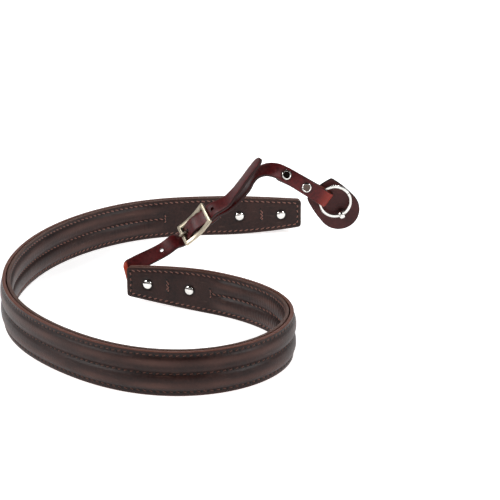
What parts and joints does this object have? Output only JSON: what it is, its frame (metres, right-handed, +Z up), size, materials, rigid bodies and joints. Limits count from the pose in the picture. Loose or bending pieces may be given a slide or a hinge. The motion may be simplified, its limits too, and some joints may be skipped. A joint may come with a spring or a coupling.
{
  "type": "camera neck strap",
  "caption": "Padded leather neck strap curved into a loop on its edge, with a buckled narrow strap, a ring and a leather guard at each end.",
  "frame": {"origin": "on the floor, at the middle of the whole strap's width and depth", "axes": "+Z up from the floor, out of the pad's upper edge; +Y from the loop's front to its back; +X to the right seen from the front"},
  "size_m": [0.2076, 0.2876, 0.0844],
  "materials": {
    "pad_leather": "smooth dark brown, satin",
    "strap_leather": "smooth burgundy, semi gloss",
    "guard_leather": "smooth dark reddish brown, satin",
    "nickel": "polished warm nickel",
    "bright_nickel": "bright nickel"
  },
  "bodies": {
    "root": {"pad_outer_leather": "pad_leather", "pad_inner_leather": "pad_leather", "near_adjuster_strap": "strap_leather", "near_ring_strap": "strap_leather", "near_ring_guard": "guard_leather", "near_buckle_frame": "nickel", "near_buckle_prong": "nickel", "near_split_ring": "bright_nickel", "near_ring_eye": "bright_nickel", "near_pad_rivet_1": "bright_nickel", "near_pad_rivet_2": "bright_nickel", "near_ring_rivet_1": "bright_nickel", "near_ring_rivet_2": "bright_nickel", "far_adjuster_strap": "strap_leather", "far_ring_strap": "strap_leather", "far_ring_guard": "guard_leather", "far_buckle_frame": "nickel", "far_buckle_prong": "nickel", "far_split_ring": "bright_nickel", "far_ring_eye": "bright_nickel", "far_pad_rivet_1": "bright_nickel", "far_pad_rivet_2": "bright_nickel", "far_ring_rivet_1": "bright_nickel", "far_ring_rivet_2": "bright_nickel"}
  },
  "joints": []
}
